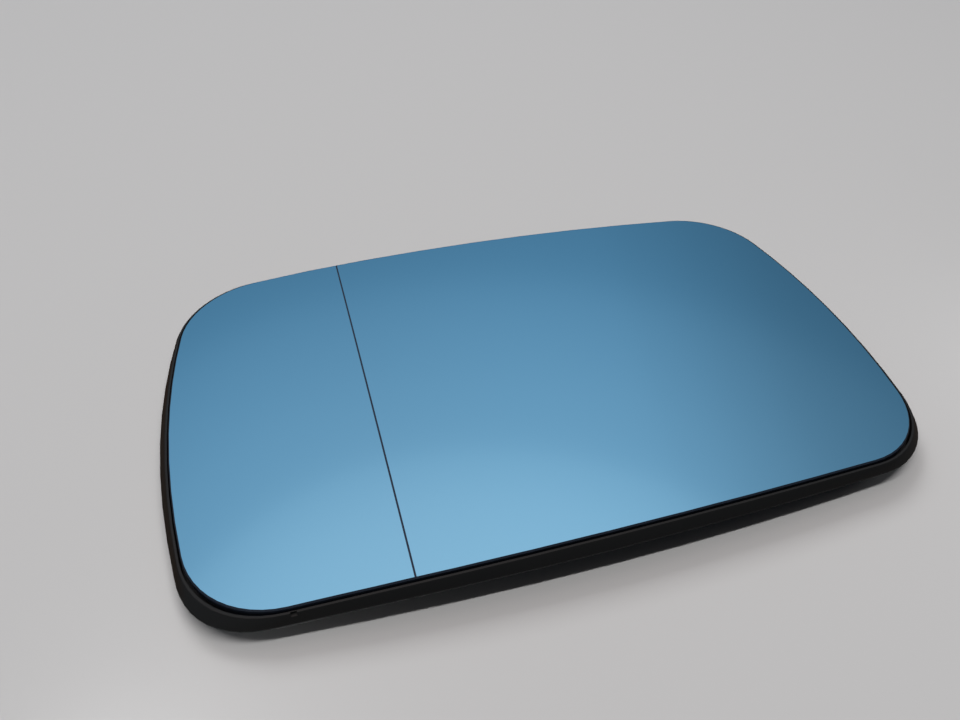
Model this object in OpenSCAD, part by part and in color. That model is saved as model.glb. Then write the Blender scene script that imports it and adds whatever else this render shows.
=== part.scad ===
// Heated door mirror insert: convex glass with a steeper outer zone, bonded through a
// heater film and a foam pad into a moulded backing plate that snaps onto its actuator.
// Lying face up, long side along X, the wide front edge towards -Y, standing on its collar.

/* [Glass] */
// Length of the glass along X
glass_w = 168; // [155:1:185]
// Height of the glass along Y
glass_h = 104; // [98:1:116]
// Thickness of the glass
glass_t = 2; // [1.6:0.1:3]
// Radius of the glass corners
glass_corner_r = 20.5; // [16:0.5:26]
// How far the two long edges bow outwards
glass_long_bow = 1.8; // [0.8:0.1:4]
// How far the two short edges bow outwards
glass_short_bow = 2.4; // [0.8:0.1:4]
// How much lower the far edge is at the inner end than at the outer end
top_fall = 3; // [0.5:0.5:8]
// Width of the ground bevel round the glass
bevel_w = 0.3; // [0.1:0.1:0.5]
// Radius of the main convex face
face_r = 1400; // [1200:50:2000]
// Radius of the steeper outer zone
outer_zone_r = 600; // [500:50:900]
// Width of the outer zone, from the outer edge to the dividing line
outer_zone_w = 45.2; // [30:0.2:56]
// Width of the dividing line
line_w = 0.4; // [0.3:0.1:1]
// Depth of the dividing line
line_depth = 0.1; // [0.05:0.05:0.3]

/* [Layers] */
// Thickness of the heater film with its adhesive
film_t = 0.4; // [0.4:0.1:0.8]
// How far the film stops short of the glass edge
film_inset = 2; // [1:0.5:5]
// Thickness of the foam pad between film and plate
pad_t = 0.6; // [0.5:0.1:1.5]
// Adhesive line between one layer and the next
bond_gap = 0.1; // [0.05:0.05:0.2]
// How far the foam pad stops short of the glass edge
pad_inset = 3; // [1.5:0.5:6]

/* [Plate rim] */
// Gap between the glass edge and the lip round it
lip_gap = 0.35; // [0.2:0.05:0.8]
// Width of the lip's top
lip_w = 0.6; // [0.4:0.05:1]
// How far the lip's top lies below the face of the glass
lip_drop = 0.65; // [0.4:0.05:1]
// Rounding of the lip's outer edge
lip_round = 0.15; // [0.05:0.05:0.3]
// Corner radius of the lip, a little tighter than the glass
lip_corner_r = 19.9; // [16:0.1:26]
// How far the flange reaches outside the glass edge
flange_out = 2.35; // [1.8:0.05:4]
// How far the flange's upper edge lies below the face of the glass
flange_drop = 2.5; // [1.9:0.1:2.8]
// Height of the flange's upright outer edge
flange_edge = 0.5; // [0.3:0.1:0.9]
// Corner radius of the flange
flange_corner_r = 20; // [16:0.5:26]
// How much more than the glass the flange bows on its long sides
flange_long_bow_add = 0.7; // [0:0.1:1.5]
// How much more than the glass the flange bows on its short sides
flange_short_bow_add = 0.6; // [0:0.1:1.5]
// Width of the drain slot cut in the lip
slot_w = 1.2; // [0.6:0.1:2]
// Depth of the drain slot below the face of the glass
slot_depth = 1.3; // [1.1:0.1:1.8]
// Distance of the drain slot from the outer end of the glass
slot_inset = 22.5; // [21:0.5:30]

/* [Plate back] */
// Height of the collar below the floor, at its axis
collar_h = 4.9; // [4.9:0.1:10]
// Thickness of the plate's floor
floor_t = 1.8; // [1.4:0.1:2.2]
// Gap between the collar and the terminal bay
collar_gap = 2.95; // [1:0.05:5]
// Wall of the collar
collar_wall = 2; // [1.5:0.1:3]
// Width of the channel between the collar and the snap hooks
hook_channel = 6; // [5:0.5:7]
// Width of each snap hook
hook_w = 9; // [6:0.5:10]
// Thickness of each snap hook
hook_t = 1.6; // [1.2:0.1:2]
// How far each hook's barb reaches inwards
barb_reach = 1.1; // [0.6:0.1:1.6]
// Height of each hook's barb
barb_h = 1.5; // [1:0.1:2]
// How far the hooks stop above the resting face
hook_lift = 0.6; // [0.3:0.1:1]
// Thickness of the ribs
rib_t = 1.4; // [1:0.1:2]
// How far the ribs stop above the resting face
rib_lift = 1.2; // [0.6:0.1:2]
// Number of ribs that run outwards from the collar
rib_count = 16; // [8:4:20]
// Distance of the border rib from the glass edge
border_inset = 7; // [6:0.5:9]
// Radius of the arc ribs that cross the outward ones at both ends
arc_rib_r = 58; // [54:1:62]

/* [Terminals] */
// Distance between the middles of the two terminals' feet
terminal_pitch = 18; // [16:1:20]
// Distance of the terminals' middle line from the near edge of the glass
terminal_inset = 14; // [13.5:0.5:15]
// Width of the terminals
blade_w = 6.3; // [4.8:0.1:6.3]
// Thickness of the terminal metal
blade_t = 0.8; // [0.5:0.1:1]
// Length of each blade
blade_l = 9; // [6:0.5:11]
// Length of the foot that is riveted to the film
foot_l = 7; // [6:0.5:8]
// Drop from the foot's upper face to the blade's upper face
blade_drop = 3.6; // [3.2:0.1:4]
// Diameter of the rivet shanks
rivet_d = 2; // [1.6:0.1:2.4]
// Diameter of the hole through each rivet
rivet_hole_d = 1; // [0.6:0.1:1.2]
// Diameter of the rivet heads
rivet_head_d = 3.6; // [3:0.1:4.4]
// Thickness of the rivet heads
rivet_head_t = 0.2; // [0.15:0.05:0.3]
// Gap round the rivet shanks and heads
rivet_gap = 0.05; // [0.05:0.05:0.2]
// Gap between the terminals and the walls of their bay
bay_gap = 1.5; // [1:0.1:2]

/* [Hidden] */
$fn = 96;
arc_fn = 900;

corner_steps = 12;
side_steps = 8;
rib_steps = 5;
margin = 1;

// Depths below the face, each measured square to it
film_top = glass_t + bond_gap;
film_bottom = film_top + film_t;
pad_top = film_bottom + bond_gap;
pad_bottom = pad_top + pad_t;
floor_top = pad_bottom + bond_gap;
floor_mid = floor_top + floor_t / 2;
floor_bottom = floor_top + floor_t;
overall_h = floor_bottom + collar_h;

// The face's own centre, and the outer zone's arc centre as [distance from it, x]
face_c = overall_h - face_r;
line_x = outer_zone_w - glass_w / 2;
line_angle = asin(line_x / face_r);
zone_c = (face_r - outer_zone_r) * [cos(line_angle), sin(line_angle)];
reach = 0.6 * glass_w;
sweep = asin(reach / face_r);
zone_step = 0.005;

hook_angles = [45, 135, 225, 315];
foot_x = terminal_pitch / 2;
terminal_y = glass_h / 2 - terminal_inset;
bay_h = blade_w + 2 * bay_gap;
window_w = terminal_pitch + foot_l + 2 * blade_t + 2 * bay_gap;
bay_w = terminal_pitch + foot_l + 2 * blade_l;
foot_drop = 0.02;
window_gap = 0.3;
collar_r = terminal_y - bay_h / 2 - rib_t - collar_gap - collar_wall;
hook_r = collar_r + collar_wall + hook_channel;
slot_x = slot_inset - glass_w / 2;

// Plan outlines

// Centres of the corner circles, counter-clockwise from the near outer corner
function corners(w, h, r, lb, sb) =
    let (cx = w / 2 - r - sb, cy = h / 2 - r - lb)
    [[-cx, -cy], [cx, -cy], [cx, cy - top_fall / 2], [-cx, cy + top_fall / 2]];

// Distance from the middle of two corner centres to the centre of the bowed side
function side_reach(a, b, bow) = (pow(norm(b - a) / 2, 2) - bow * bow) / (2 * bow);

function side_centre(a, b, bow) =
    let (u = (b - a) / norm(b - a))
    (a + b) / 2 + [-u[1], u[0]] * side_reach(a, b, bow);

function heading(v) = atan2(v[1], v[0]);

// The turn from angle a to angle b, counter-clockwise
function turn(a, b) = (b - a + 720) % 360;

function arc(c, r, a, b, steps) =
    [for (i = [0 : steps - 1])
        c + r * [cos(a + turn(a, b) * i / steps), sin(a + turn(a, b) * i / steps)]];

// Round corners joined by bowed sides that meet them without a kink
function outline(w, h, r, lb, sb) =
    let (c = corners(w, h, r, lb, sb), bow = [lb, sb, lb, sb],
         s = [for (i = [0 : 3]) side_centre(c[i], c[(i + 1) % 4], bow[i])])
    [for (i = [0 : 3])
        let (from = heading(c[i] - s[(i + 3) % 4]),
             to = heading(c[i] - s[i]),
             end = heading(c[(i + 1) % 4] - s[i]),
             rho = r + norm(c[i] - s[i]))
        each concat(arc(c[i], r, from, to, corner_steps),
                    arc(s[i], rho, to, end, side_steps))];

// The outlines of the glass, the lip and the flange, moved outwards by a distance
function glass_outline(grow) =
    outline(glass_w + 2 * grow, glass_h + 2 * grow, glass_corner_r + grow,
            glass_long_bow, glass_short_bow);

function lip_outline(grow) =
    outline(glass_w + 2 * grow, glass_h + 2 * grow, lip_corner_r + grow,
            glass_long_bow, glass_short_bow);

function flange_outline(grow) =
    outline(glass_w + 2 * flange_out + 2 * grow, glass_h + 2 * flange_out + 2 * grow,
            flange_corner_r + grow, glass_long_bow + flange_long_bow_add,
            glass_short_bow + flange_short_bow_add);

// The curved face

// Distance of the face from its long axis, at a place x along it
function face_reach(x) =
    x > line_x ? sqrt(face_r * face_r - x * x)
               : zone_c[0] + sqrt(pow(outer_zone_r, 2) - pow(x - zone_c[1], 2));

function face_z(p) = face_c + sqrt(pow(face_reach(p[0]), 2) - p[1] * p[1]);

// Sector of the section plane between two angles about the face's centre
module sector(from, to)
    polygon([[0, 0], 1.5 * face_r * [cos(from), sin(from)], 1.5 * face_r * [cos(to), sin(to)]]);

// Section of all that lies deeper than a depth below the face
module under(depth)
    difference() {
        circle(r = face_r - depth, $fn = arc_fn);
        difference() {
            sector(-2 * sweep, line_angle);
            translate(zone_c)
            circle(r = outer_zone_r - depth - zone_step, $fn = arc_fn);
        }
    }

// A layer that follows the face, from one depth below it to another
module layer(top, bottom)
    translate([0, 0, face_c])
    rotate([0, 90, 0])
    rotate([0, 0, 180 - sweep])
    rotate_extrude(angle = 2 * sweep, $fn = arc_fn)
    intersection() {
        sector(-sweep, sweep);
        difference() {
            under(top);
            under(bottom);
        }
    }

// The part of a layer inside a plan outline
module cut_layer(points, top, bottom)
    intersection() {
        layer(top, bottom);
        translate([0, 0, -margin])
        linear_extrude(overall_h + 2 * margin) polygon(points);
    }

// Closed band whose section is carried round its outlines, dropped below the face
module band(section) {
    n = len(section[0][0]);
    m = len(section);
    points = [for (s = section) each [for (p = s[0]) [p[0], p[1], face_z(p) - s[1]]]];
    faces = [for (j = [0 : m - 1], i = [0 : n - 1])
        let (a = j * n + i, b = j * n + (i + 1) % n,
             c = ((j + 1) % m) * n + i, d = ((j + 1) % m) * n + (i + 1) % n)
        each [[a, c, d], [a, d, b]]];
    polyhedron(points, faces);
}

// Places its children square to the face at a point of it, with the face at zero
module on_face(x, y)
    translate([x, y, face_z([x, y])])
    rotate([asin(-y / face_r), asin(x / face_r), 0])
    children();

// The glass

module mirror_glass()
    color("steelblue")
    difference() {
        cut_layer(glass_outline(0), 0, glass_t);
        band([
            [glass_outline(-2 * bevel_w), -bevel_w],
            [glass_outline(bevel_w), 2 * bevel_w],
            [glass_outline(bevel_w), -bevel_w]
        ]);
        intersection() {
            layer(-margin, line_depth);
            translate([line_x - line_w / 2, -glass_h, 0])
            cube([line_w, 2 * glass_h, overall_h + margin]);
        }
    }

// The heater film and its rivet seats

module at_foot(side)
    on_face(side * foot_x, -terminal_y)
    children();

module heater_film()
    color("sandybrown")
    difference() {
        cut_layer(glass_outline(-film_inset), film_top, film_bottom);
        for (side = [-1, 1])
            at_foot(side) {
                translate([0, 0, -film_bottom - margin])
                cylinder(d = rivet_d + 2 * rivet_gap, h = margin + film_t);
                translate([0, 0, -film_top - rivet_head_t - rivet_gap])
                cylinder(d = rivet_head_d + 2 * rivet_gap, h = margin);
            }
    }

// The foam pad, open over the terminals

module terminal_window()
    translate([-window_w / 2, -terminal_y - bay_h / 2, 0])
    cube([window_w, bay_h, overall_h]);

module foam_pad()
    color("dimgray")
    difference() {
        cut_layer(glass_outline(-pad_inset), pad_top, pad_bottom);
        terminal_window();
    }

// The backing plate

// Lip and flange, from the lip's inner edge over the top, outwards and back underneath
module rim()
    band([
        [lip_outline(lip_gap), lip_drop],
        [lip_outline(lip_gap), floor_mid],
        [lip_outline(lip_gap + lip_w), floor_mid],
        [flange_outline(-lip_round), flange_drop + flange_edge],
        [flange_outline(0), flange_drop + flange_edge - lip_round],
        [flange_outline(0), flange_drop],
        [lip_outline(lip_gap + lip_w), lip_drop + lip_round],
        [lip_outline(lip_gap + lip_w - lip_round), lip_drop]
    ]);

module border_rib()
    intersection() {
        layer(floor_mid, overall_h + margin);
        translate([0, 0, rib_lift])
        linear_extrude(overall_h)
        difference() {
            polygon(glass_outline(-border_inset));
            polygon(glass_outline(-border_inset - rib_t));
        }
    }

// Arcs about the plate's axis, from one long side of the border rib to the other
module arc_ribs()
    translate([0, 0, rib_lift])
    linear_extrude(mid_z(arc_rib_r, 0) - rib_lift)
    intersection() {
        polygon(glass_outline(-border_inset - rib_t / 2));
        difference() {
            circle(r = arc_rib_r + rib_t / 2);
            circle(r = arc_rib_r - rib_t / 2);
        }
    }

// Height of the floor's middle at a distance from the axis, in the direction a
function mid_z(r, a) = face_z([r * cos(a), r * sin(a)]) - floor_mid;

// Distance from the axis to a closed outline, in the direction a
function ray(points, a) =
    max([for (i = [0 : len(points) - 1])
        let (p = points[i], q = points[(i + 1) % len(points)], d = [cos(a), sin(a)],
             side_p = cross(d, p), side_q = cross(d, q))
        side_p <= 0 && side_q > 0 ? (p + (q - p) * side_p / (side_p - side_q)) * d : 0]);

// Where a rib ends: at the border rib, or at the terminal bay if that is in its way
function rib_end(a) =
    let (wall = sin(a) < 0 ? (bay_h / 2 + rib_t / 2 - terminal_y) / sin(a) : 0,
         blocked = sin(a) < 0 && abs(wall * cos(a)) < bay_w / 2)
    blocked ? wall : ray(glass_outline(-border_inset - rib_t / 2), a);

function rib_start(a) =
    min([for (h = hook_angles) abs(h - a)]) < 1 ? hook_r + 3 * hook_t
                                                : collar_r + collar_wall / 2;

module radial_rib(a) {
    from = rib_start(a);
    to = rib_end(a);
    rotate(a)
    rotate([90, 0, 0])
    linear_extrude(rib_t, center = true)
    polygon(concat(
        [[from, rib_lift], [to, rib_lift]],
        [for (i = [0 : rib_steps])
            let (r = to + (from - to) * i / rib_steps)
            [r, mid_z(r, a)]]
    ));
}

module bay_walls()
    for (side = [-1, 1])
        translate([-bay_w / 2, side * (bay_h + rib_t) / 2 - rib_t / 2 - terminal_y, rib_lift])
        cube([bay_w, rib_t, face_z([0, terminal_y + bay_h / 2]) - floor_mid - rib_lift]);

module collar()
    difference() {
        cylinder(r = collar_r + collar_wall, h = mid_z(collar_r + collar_wall, 0));
        translate([0, 0, -margin])
        cylinder(r = collar_r, h = overall_h);
    }

// Cantilever hook with a barb that faces the collar
module snap_hook(a)
    rotate(a)
    rotate([90, 0, 0])
    linear_extrude(hook_w, center = true)
    polygon([
        [hook_r, mid_z(hook_r, a)],
        [hook_r, hook_lift + barb_h],
        [hook_r - barb_reach, hook_lift + barb_h],
        [hook_r - barb_reach, hook_lift + 0.7 * barb_h],
        [hook_r + 0.2 * hook_t, hook_lift],
        [hook_r + hook_t, hook_lift],
        [hook_r + 1.2 * hook_t, mid_z(hook_r, a)]
    ]);

// Opening in the floor above a hook's barb
module hook_window(a)
    rotate(a)
    translate([hook_r - barb_reach - window_gap, -hook_w / 2, hook_lift + barb_h])
    cube([barb_reach + window_gap, hook_w, overall_h]);

module backing_plate()
    color("dimgray")
    difference() {
        union() {
            rim();
            cut_layer(lip_outline(lip_gap + lip_w / 2), floor_top, floor_bottom);
            collar();
            border_rib();
            arc_ribs();
            bay_walls();
            for (i = [0 : rib_count - 1])
                radial_rib(i * 360 / rib_count);
            for (a = hook_angles)
                snap_hook(a);
        }
        terminal_window();
        for (a = hook_angles)
            hook_window(a);
        on_face(slot_x, -glass_h / 2)
        translate([-slot_w / 2, -2 * lip_w - flange_out, -slot_depth])
        cube([slot_w, 4 * lip_w + flange_out, 2 * slot_depth]);
    }

// The terminals: a foot under the film, a step down and a blade

module terminal(side)
    at_foot(side)
    mirror([side < 0 ? 1 : 0, 0, 0])
    translate([0, 0, -film_bottom - foot_drop])
    difference() {
        rotate([90, 0, 0])
        linear_extrude(blade_w, center = true)
        polygon([
            [-foot_l / 2, 0],
            [foot_l / 2 + blade_t, 0],
            [foot_l / 2 + blade_t, -blade_drop],
            [foot_l / 2 + blade_l, -blade_drop],
            [foot_l / 2 + blade_l, -blade_drop - blade_t],
            [foot_l / 2, -blade_drop - blade_t],
            [foot_l / 2, -blade_t],
            [-foot_l / 2, -blade_t]
        ]);
        translate([0, 0, -margin])
        cylinder(d = rivet_d + 2 * rivet_gap, h = 2 * margin);
    }

module terminal_left()
    color("gold")
    terminal(-1);

module terminal_right()
    color("gold")
    terminal(1);

// The rivets: head above the film, shank through film and foot, rolled head below

module rivet(side)
    at_foot(side)
    difference() {
        union() {
            translate([0, 0, -film_top - foot_drop - rivet_head_t])
            cylinder(d = rivet_head_d, h = rivet_head_t);
            translate([0, 0, -film_bottom - foot_drop - blade_t - rivet_head_t])
            cylinder(d = rivet_head_d, h = rivet_head_t);
            translate([0, 0, -film_bottom - foot_drop - blade_t - rivet_head_t])
            cylinder(d = rivet_d, h = film_t + blade_t + rivet_head_t);
        }
        translate([0, 0, -overall_h])
        cylinder(d = rivet_hole_d, h = 2 * overall_h);
    }

module rivet_left()
    color("silver")
    rivet(-1);

module rivet_right()
    color("silver")
    rivet(1);

mirror_glass();
heater_film();
foam_pad();
backing_plate();
terminal_left();
terminal_right();
rivet_left();
rivet_right();
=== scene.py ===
import math

import bmesh
import bpy
from mathutils import Matrix, Vector


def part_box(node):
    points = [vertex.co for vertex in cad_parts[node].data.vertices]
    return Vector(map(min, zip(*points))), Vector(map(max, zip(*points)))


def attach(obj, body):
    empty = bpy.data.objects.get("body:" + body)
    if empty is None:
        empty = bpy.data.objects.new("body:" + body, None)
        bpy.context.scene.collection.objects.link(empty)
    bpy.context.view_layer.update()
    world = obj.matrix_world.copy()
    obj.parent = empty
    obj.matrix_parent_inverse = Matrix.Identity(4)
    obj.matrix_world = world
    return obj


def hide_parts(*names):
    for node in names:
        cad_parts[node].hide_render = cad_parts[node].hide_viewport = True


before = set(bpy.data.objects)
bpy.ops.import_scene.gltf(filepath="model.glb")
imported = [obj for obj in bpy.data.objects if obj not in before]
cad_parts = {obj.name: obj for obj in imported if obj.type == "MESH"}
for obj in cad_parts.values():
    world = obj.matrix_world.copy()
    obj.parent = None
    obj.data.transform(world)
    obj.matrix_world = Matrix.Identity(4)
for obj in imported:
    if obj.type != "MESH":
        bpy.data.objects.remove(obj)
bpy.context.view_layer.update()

# Backing plate: black moulded plastic with a fine satin grain, one piece with its lip,
# flange, floor, collar, hooks and ribs. Its mesh is the CAD solid's own, merged and shaded
# smooth, with the small radius that a mould leaves on every edge.

BLACK = (0.0132, 0.0130, 0.0130, 1)
PLASTIC_ROUGHNESS = 0.40
PLASTIC_GLOSS = 0.3
GRAIN_SCALE = 2600
GRAIN_DEPTH = 0.00002
MERGE_DISTANCE = 1e-6
PLATE_MERGE_DISTANCE = 5e-6
FLAT_ENOUGH = math.radians(0.05)
SHARP_ANGLE = math.radians(30)
MOULD_RADIUS = 0.00012
CORNER_CENTRE = Vector((-0.06335, -0.03185, 0))
CORNER_FROM = 0.0174
CORNER_TO = 0.0200
CORNER_EXTRA = 0.0007


def own_copy(node, name, merge_distance=MERGE_DISTANCE):
    """A merged copy of a CAD node's mesh that stands for it."""
    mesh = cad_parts[node].data.copy()
    mesh.name = name
    mesh.materials.clear()
    bm = bmesh.new()
    bm.from_mesh(mesh)
    bmesh.ops.remove_doubles(bm, verts=bm.verts, dist=merge_distance)
    bmesh.ops.dissolve_limit(bm, angle_limit=FLAT_ENOUGH, verts=bm.verts, edges=bm.edges)
    bm.to_mesh(mesh)
    bm.free()
    piece = bpy.data.objects.new(name, mesh)
    bpy.context.collection.objects.link(piece)
    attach(piece, "root")
    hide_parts(node)
    return piece


def finish_shading(piece, material, angle=SHARP_ANGLE):
    """Smooth shading, broken at edges sharper than the angle."""
    piece.data.materials.append(material)
    for face in piece.data.polygons:
        face.use_smooth = True
    piece.data.set_sharp_from_angle(angle=angle)


def round_edges(piece, width):
    """A small radius on every sharp edge."""
    bevel = piece.modifiers.new("mould radius", "BEVEL")
    bevel.width = width
    bevel.segments = 2
    bevel.limit_method = "ANGLE"
    bevel.angle_limit = SHARP_ANGLE
    bevel.harden_normals = True


def new_material(name, color, roughness, metallic=0.0, gloss=0.5):
    """A material and its node tree, with the colour and finish on the shader's own sockets."""
    material = bpy.data.materials.new(name)
    material.use_nodes = True
    shader = material.node_tree.nodes["Principled BSDF"]
    shader.inputs["Base Color"].default_value = color
    shader.inputs["Roughness"].default_value = roughness
    shader.inputs["Metallic"].default_value = metallic
    shader.inputs["Specular IOR Level"].default_value = gloss
    return material, material.node_tree, shader


def add_grain(tree, shader, scale, depth):
    """Fine surface grain from noise in the object's own coordinates."""
    where = tree.nodes.new("ShaderNodeTexCoord")
    noise = tree.nodes.new("ShaderNodeTexNoise")
    noise.inputs["Scale"].default_value = scale
    noise.inputs["Detail"].default_value = 2
    bump = tree.nodes.new("ShaderNodeBump")
    bump.inputs["Distance"].default_value = depth
    tree.links.new(where.outputs["Object"], noise.inputs["Vector"])
    tree.links.new(noise.outputs["Fac"], bump.inputs["Height"])
    tree.links.new(bump.outputs["Normal"], shader.inputs["Normal"])


plastic, tree, shader = new_material("satin black plastic", BLACK, PLASTIC_ROUGHNESS,
                                     gloss=PLASTIC_GLOSS)
add_grain(tree, shader, GRAIN_SCALE, GRAIN_DEPTH)

plate = own_copy("backing_plate", "moulded_plate", PLATE_MERGE_DISTANCE)

# the rim's near outer corner stands out a little more than the other three
for vert in plate.data.vertices:
    out = vert.co - CORNER_CENTRE
    out.z = 0
    if out.x < 0 and out.y < 0 and out.length > CORNER_FROM:
        part = (out.length - CORNER_FROM) / (CORNER_TO - CORNER_FROM)
        part *= (2 * out.x * out.y / out.length_squared) ** 2
        vert.co += out.normalized() * min(part, 1) * CORNER_EXTRA

finish_shading(plate, plastic)
round_edges(plate, MOULD_RADIUS)

# Spade terminals: tinned brass strip, blanked and bent, with the burr taken off the edges.

TINNED = (0.62, 0.61, 0.58, 1)
TIN_ROUGHNESS = 0.32
STRIP_RADIUS = 0.00008

tin, tree, shader = new_material("tinned strip", TINNED, TIN_ROUGHNESS, metallic=1.0)
for side in ("left", "right"):
    terminal = own_copy("terminal_" + side, side + "_spade_terminal")
    finish_shading(terminal, tin)
    round_edges(terminal, STRIP_RADIUS)

# Tubular rivets: plain brass, headed on both sides of the film and the terminal's foot.

RIVET_BRASS = (0.62, 0.47, 0.22, 1)
BRASS_ROUGHNESS = 0.3

brass, tree, shader = new_material("rivet brass", RIVET_BRASS, BRASS_ROUGHNESS, metallic=1.0)
for side in ("left", "right"):
    rivet = own_copy("rivet_" + side, side + "_rivet")
    finish_shading(rivet, brass)

# Heater film: thin amber polymer film with its adhesive. A grey metal track is printed on
# it in rows that run along the glass, and shows through the terminal window.

FILM_AMBER = (0.42, 0.19, 0.04, 1)
FILM_ROUGHNESS = 0.28
TRACK_GREY = (0.45, 0.45, 0.44, 1)
TRACK_PITCH = 0.0046
TRACK_SHARE = 0.62

film_finish, tree, shader = new_material("film with printed track", FILM_AMBER,
                                         FILM_ROUGHNESS)
where = tree.nodes.new("ShaderNodeTexCoord")
split = tree.nodes.new("ShaderNodeSeparateXYZ")
rows = tree.nodes.new("ShaderNodeMath")
rows.operation = "PINGPONG"
rows.inputs[1].default_value = TRACK_PITCH / 2
on_track = tree.nodes.new("ShaderNodeMath")
on_track.operation = "LESS_THAN"
on_track.inputs[1].default_value = TRACK_PITCH / 2 * TRACK_SHARE
paint = tree.nodes.new("ShaderNodeMix")
paint.data_type = "RGBA"
paint.inputs[6].default_value = FILM_AMBER
paint.inputs[7].default_value = TRACK_GREY
tree.links.new(where.outputs["Object"], split.inputs[0])
tree.links.new(split.outputs["Y"], rows.inputs[0])
tree.links.new(rows.outputs[0], on_track.inputs[0])
tree.links.new(on_track.outputs[0], paint.inputs[0])
tree.links.new(paint.outputs[2], shader.inputs["Base Color"])

film = own_copy("heater_film", "film_with_track")
finish_shading(film, film_finish)

# Foam pad: black closed-cell foam with adhesive on both sides, die-cut, with an opening
# over the terminals.

FOAM = (0.018, 0.018, 0.019, 1)
FOAM_ROUGHNESS = 0.9
FOAM_SCALE = 1500
FOAM_DEPTH = 0.00008

foam, tree, shader = new_material("closed-cell foam", FOAM, FOAM_ROUGHNESS)
add_grain(tree, shader, FOAM_SCALE, FOAM_DEPTH)

pad = own_copy("foam_pad", "bonding_pad")
finish_shading(pad, foam)

# Mirror glass: bent float glass with a blue reflecting coat. It is cut to its outline, its
# edge is ground to a small bevel, and a thin line is etched where the steeper outer zone
# begins. The sheet starts flat, is trimmed along the CAD glass's sides, then bent.

FACE_RADIUS = 1.400
OUTER_ZONE_RADIUS = 0.600
LINE_X = -0.0388
LINE_WIDTH = 0.0004
LINE_DEPTH = 0.0001
GLASS_THICKNESS = 0.002
GROUND_BEVEL = 0.0003
GRID_STEP = 0.0015
CUT_SNAP = 1e-7
UPRIGHT = 0.01
OUTERMOST = 2e-5
ON_SIDE = 2e-6
FLAT = 0.9
UNDERSIDE = 0.9 * GLASS_THICKNESS
GLASS_SHARP_ANGLE = math.radians(25)
MIRROR_BLUE = (0.29, 0.69, 1.0, 1)
COAT_ROUGHNESS = 0.035
GROUND_EDGE = (0.020, 0.026, 0.040, 1)
GROUND_ROUGHNESS = 0.35
ETCHED_LINE = (0.012, 0.020, 0.040, 1)
ETCHED_ROUGHNESS = 0.5

glass_low, glass_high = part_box("mirror_glass")
face_centre = glass_high.z - FACE_RADIUS
line_angle = math.asin(LINE_X / FACE_RADIUS)
zone_x = (FACE_RADIUS - OUTER_ZONE_RADIUS) * math.sin(line_angle)
zone_reach = (FACE_RADIUS - OUTER_ZONE_RADIUS) * math.cos(line_angle)


def face_height(x, y):
    """Height of the mirror face: a sphere, and beyond the line a tangent ring of it."""
    if x > LINE_X:
        reach = math.sqrt(FACE_RADIUS ** 2 - x ** 2)
    else:
        reach = zone_reach + math.sqrt(OUTER_ZONE_RADIUS ** 2 - (x - zone_x) ** 2)
    return face_centre + math.sqrt(reach ** 2 - y ** 2)


def put_in_order(elements, place):
    """Number a mesh's elements by place, so that their order is the same on each run."""
    for index, element in enumerate(sorted(elements, key=place)):
        element.index = index
    elements.sort()


# the flat sides of the CAD glass, one plane for each step of its outline
cad = bmesh.new()
cad.from_mesh(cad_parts["mirror_glass"].data)
bmesh.ops.remove_doubles(cad, verts=cad.verts, dist=MERGE_DISTANCE)
cad.normal_update()
sides = {}
for face in cad.faces:
    if abs(face.normal.z) > UPRIGHT:
        continue
    normal = Vector((face.normal.x, face.normal.y, 0)).normalized()
    here = face.calc_center_median()
    if max((vert.co - here).dot(normal) for vert in cad.verts) < OUTERMOST:
        sides[(round(normal.x, 3), round(normal.y, 3))] = (here, normal)
cad.free()
sides = list(sides.values())

bm = bmesh.new()
half = Vector((glass_high.x + GRID_STEP, glass_high.y + GRID_STEP))
bmesh.ops.create_grid(bm, x_segments=int(2 * half.x / GRID_STEP),
                      y_segments=int(2 * half.y / GRID_STEP), size=1,
                      matrix=Matrix.Diagonal((half.x, half.y, 1, 1)))
for edge_x in (LINE_X - LINE_WIDTH / 2, LINE_X + LINE_WIDTH / 2):
    bmesh.ops.bisect_plane(bm, geom=bm.verts[:] + bm.edges[:] + bm.faces[:], dist=CUT_SNAP,
                           plane_co=(edge_x, 0, 0), plane_no=(1, 0, 0))
for here, normal in sides:
    bmesh.ops.bisect_plane(bm, geom=bm.verts[:] + bm.edges[:] + bm.faces[:], dist=CUT_SNAP,
                           plane_co=here - normal * GROUND_BEVEL, plane_no=normal,
                           clear_outer=True)
made = bmesh.ops.extrude_face_region(bm, geom=bm.faces[:])["geom"]
bottom = [part for part in made if isinstance(part, bmesh.types.BMVert)]
bmesh.ops.translate(bm, verts=bottom, vec=(0, 0, -GLASS_THICKNESS))
walls = [edge for edge in bm.edges
         if abs(edge.verts[0].co.z - edge.verts[1].co.z) > GLASS_THICKNESS / 2]
cut = bmesh.ops.subdivide_edges(bm, edges=walls, cuts=1)["geom_inner"]
middle = [part for part in cut if isinstance(part, bmesh.types.BMVert)]
rim = set(middle)
for vert in middle:
    rim.update(edge.other_vert(vert) for edge in vert.link_edges
               if edge.other_vert(vert).co.z < -UNDERSIDE)
    vert.co.z = -GROUND_BEVEL
for vert in rim:
    near = [normal for here, normal in sides
            if abs((vert.co - here).dot(normal) + GROUND_BEVEL) < ON_SIDE]
    out = sum(near, Vector()) / len(near)
    vert.co += out / out.length_squared * GROUND_BEVEL
bm.normal_update()
strip = []
for face in bm.faces:
    across = face.calc_center_median()
    if abs(face.normal.z) < FLAT:
        face.material_index = 1
    elif abs(across.x - LINE_X) < LINE_WIDTH / 2 and across.z > -GROUND_BEVEL:
        strip.append(face)
made = bmesh.ops.extrude_face_region(bm, geom=strip)["geom"]
groove = [part for part in made if isinstance(part, bmesh.types.BMVert)]
bmesh.ops.delete(bm, geom=strip, context="FACES_KEEP_BOUNDARY")
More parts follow.
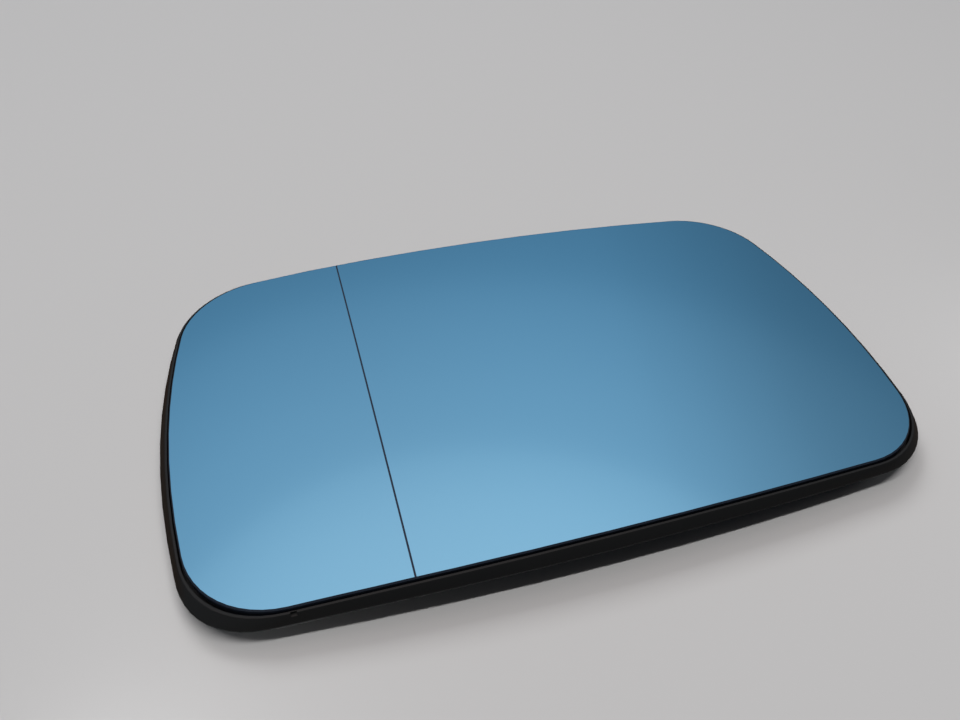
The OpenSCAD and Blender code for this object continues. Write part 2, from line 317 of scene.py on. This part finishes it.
for vert in groove:
    vert.co.z -= LINE_DEPTH
    for face in vert.link_faces:
        face.material_index = 2
for vert in bm.verts:
    vert.co.z += face_height(vert.co.x, vert.co.y)
bmesh.ops.recalc_face_normals(bm, faces=bm.faces)
put_in_order(bm.verts, lambda vert: tuple(vert.co))
put_in_order(bm.edges, lambda edge: tuple(edge.verts[0].co + edge.verts[1].co))
put_in_order(bm.faces, lambda face: tuple(face.calc_center_median()))
mesh = bpy.data.meshes.new("mirror glass")
bm.to_mesh(mesh)
bm.free()
glass = bpy.data.objects.new("blue_mirror_glass", mesh)
bpy.context.collection.objects.link(glass)

mirror, tree, shader = new_material("blue reflecting coat", MIRROR_BLUE, COAT_ROUGHNESS,
                                    metallic=1.0)
ground, tree, shader = new_material("ground glass edge", GROUND_EDGE, GROUND_ROUGHNESS)
etched, tree, shader = new_material("etched line", ETCHED_LINE, ETCHED_ROUGHNESS)
finish_shading(glass, mirror, GLASS_SHARP_ANGLE)
glass.data.materials.append(ground)
glass.data.materials.append(etched)
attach(glass, "root")
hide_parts("mirror_glass")

# Table: a pale matt sheet that the part lies on. It is seen only from above, and lets the
# light from below reach the part's back.

TABLE = (0.56, 0.555, 0.55, 1)
TABLE_HALF = 4
TABLE_ROUGHNESS = 0.6

bm = bmesh.new()
bmesh.ops.create_grid(bm, x_segments=1, y_segments=1, size=TABLE_HALF)
mesh = bpy.data.meshes.new("table")
bm.to_mesh(mesh)
bm.free()
table = bpy.data.objects.new("table", mesh)
bpy.context.collection.objects.link(table)
matt, tree, shader = new_material("pale matt sheet", TABLE, TABLE_ROUGHNESS)
side_seen = tree.nodes.new("ShaderNodeNewGeometry")
clear = tree.nodes.new("ShaderNodeBsdfTransparent")
choose = tree.nodes.new("ShaderNodeMixShader")
tree.links.new(side_seen.outputs["Backfacing"], choose.inputs[0])
tree.links.new(shader.outputs[0], choose.inputs[1])
tree.links.new(clear.outputs[0], choose.inputs[2])
tree.links.new(choose.outputs[0], tree.nodes["Material Output"].inputs["Surface"])
table.data.materials.append(matt)
table.visible_diffuse = False
table.visible_glossy = False
table.visible_shadow = False

# Room: pale behind and above the part, where the glass mirrors it, fading towards the horizon
# and to the right. Reflections meet the viewer's side brighter, and the light from below
# dimmer, than the part is lit by them. Past the table stands a plain grey backdrop.

BY_HEIGHT = ((-1.0, 0.0), (-0.02, 0.0), (0.03, 0.12), (0.12, 0.23), (0.50, 0.33), (0.60, 0.40),
             (0.70, 0.455), (0.76, 0.49), (0.80, 0.555), (0.86, 0.62), (1.0, 0.70))
BY_SIDE = ((-1.0, 1.2), (-0.55, 0.95), (-0.30, 1.0), (0.0, 1.0), (0.36, 1.03), (0.45, 0.96),
           (0.55, 0.82), (0.66, 0.68), (0.78, 0.63), (1.0, 1.2))
BY_DEPTH = ((-1.0, 0.17), (-0.25, 0.19), (0.0, 0.40), (0.34, 1.0), (1.0, 1.0))
FROM_BELOW = ((-1.0, 2.0), (-0.90, 1.5), (-0.75, 0.45), (-0.60, 0.34), (-0.08, 0.30),
              (0.04, 0.0), (1.0, 0.0))
MIRRORED_FRONT = 0.32
MIRRORED_BELOW = 0.25
LOW_TINT = (0.12, 0.67, 1.0, 1)
HIGH_TINT = (1.75, 1.21, 1.0, 1)
FLOOR_TINT = (0.95, 0.98, 1.0, 1)
BACKDROP = (0.52, 0.52, 0.525, 1)

world = bpy.data.worlds.new("room")
bpy.context.scene.world = world
world.use_nodes = True
tree = world.node_tree
where = tree.nodes.new("ShaderNodeTexCoord")
split = tree.nodes.new("ShaderNodeSeparateXYZ")
tree.links.new(where.outputs["Generated"], split.inputs[0])


def brightness(axis, stops):
    """Brightness of the room along one axis of the direction, by soft steps."""
    curve = tree.nodes.new("ShaderNodeFloatCurve")
    spread = tree.nodes.new("ShaderNodeMapRange")
    spread.inputs["From Min"].default_value = -1
    tree.links.new(split.outputs[axis], spread.inputs["Value"])
    tree.links.new(spread.outputs["Result"], curve.inputs["Value"])
    points = curve.mapping.curves[0].points
    points[0].location = ((stops[0][0] + 1) / 2, stops[0][1])
    points[1].location = ((stops[-1][0] + 1) / 2, stops[-1][1])
    for place, level in stops[1:-1]:
        points.new((place + 1) / 2, level)
    curve.mapping.update()
    return curve.outputs[0]


def combine(operation, first, second):
    """One arithmetic step on two values, each a number or a socket."""
    node = tree.nodes.new("ShaderNodeMath")
    node.operation = operation
    for socket, value in zip(node.inputs, (first, second)):
        if isinstance(value, float):
            socket.default_value = value
        else:
            tree.links.new(value, socket)
    return node.outputs[0]


rays = tree.nodes.new("ShaderNodeLightPath")
in_glass = combine("MULTIPLY", rays.outputs["Is Glossy Ray"], MIRRORED_FRONT)
depth = combine("MAXIMUM", brightness("Y", BY_DEPTH), in_glass)
height = brightness("Z", BY_HEIGHT)
level = combine("MULTIPLY", combine("MULTIPLY", height, brightness("X", BY_SIDE)), depth)
tint = tree.nodes.new("ShaderNodeMix")
tint.data_type = "RGBA"
tint.inputs[6].default_value = LOW_TINT
tint.inputs[7].default_value = HIGH_TINT
room = tree.nodes["Background"]
tree.links.new(height, tint.inputs[0])
tree.links.new(tint.outputs[2], room.inputs["Color"])
tree.links.new(level, room.inputs["Strength"])
dimmed = combine("MULTIPLY", rays.outputs["Is Glossy Ray"], 1.0 - MIRRORED_BELOW)
below = combine("MULTIPLY", brightness("Z", FROM_BELOW), combine("SUBTRACT", 1.0, dimmed))
floor_glow = tree.nodes.new("ShaderNodeBackground")
floor_glow.inputs["Color"].default_value = FLOOR_TINT
tree.links.new(below, floor_glow.inputs["Strength"])
both = tree.nodes.new("ShaderNodeAddShader")
tree.links.new(room.outputs[0], both.inputs[0])
tree.links.new(floor_glow.outputs[0], both.inputs[1])
backdrop = tree.nodes.new("ShaderNodeBackground")
backdrop.inputs["Color"].default_value = BACKDROP
choose = tree.nodes.new("ShaderNodeMixShader")
tree.links.new(rays.outputs["Is Camera Ray"], choose.inputs[0])
tree.links.new(both.outputs[0], choose.inputs[1])
tree.links.new(backdrop.outputs[0], choose.inputs[2])
tree.links.new(choose.outputs[0], tree.nodes["World Output"].inputs["Surface"])

# Lamps: a long strip light overhead, parallel to the part, a broad soft one behind, and two
# small ones low on the viewer's side, which brighten the table under the rim at both ends.


def area_lamp(name, place, target, width, depth, watts):
    """A rectangular lamp aimed at a target, seen only by the light it gives."""
    light = bpy.data.lights.new(name, "AREA")
    light.shape = "RECTANGLE"
    light.size = width
    light.size_y = depth
    light.energy = watts
    lamp = bpy.data.objects.new(name, light)
    bpy.context.collection.objects.link(lamp)
    aim = Vector(target) - Vector(place)
    lamp.matrix_world = (Matrix.Translation(place)
                         @ aim.to_track_quat("-Z", "Y").to_matrix().to_4x4())
    lamp.visible_glossy = False
    lamp.visible_camera = False


area_lamp("strip overhead", (0, -0.16, 1.3), (0, 0, 0), 1.4, 0.06, 9.5)
area_lamp("soft lamp behind", (-0.1, 1.5, 1.6), (0, 0, 0), 1.2, 0.8, 18)
area_lamp("low lamp left", (-0.095, -0.080, 0.020), (-0.06, -0.05, 0), 0.03, 0.01, 0.0023)
area_lamp("low lamp right", (0.16, -0.05, 0.04), (0.06, -0.05, 0), 0.03, 0.01, 0.007)

# Camera: a phone's wide view from the near left, looking down at the part.

CAMERA_PLACE = Vector((-0.04903, -0.12846, glass_high.z + 0.12351))
CAMERA_AIM = Vector((0.2060, 0.7092, -0.6742))
CAMERA_ROLL = math.radians(0.18)
FOCAL_LENGTH = 28.60

lens = bpy.data.cameras.new("camera")
lens.lens = FOCAL_LENGTH
lens.sensor_width = 36
lens.clip_start = 0.005
camera = bpy.data.objects.new("camera", lens)
bpy.context.collection.objects.link(camera)
camera.matrix_world = (Matrix.Translation(CAMERA_PLACE)
                       @ CAMERA_AIM.to_track_quat("-Z", "Y").to_matrix().to_4x4()
                       @ Matrix.Rotation(CAMERA_ROLL, 4, "Z"))
bpy.context.scene.camera = camera
bpy.context.scene.view_settings.view_transform = "Standard"
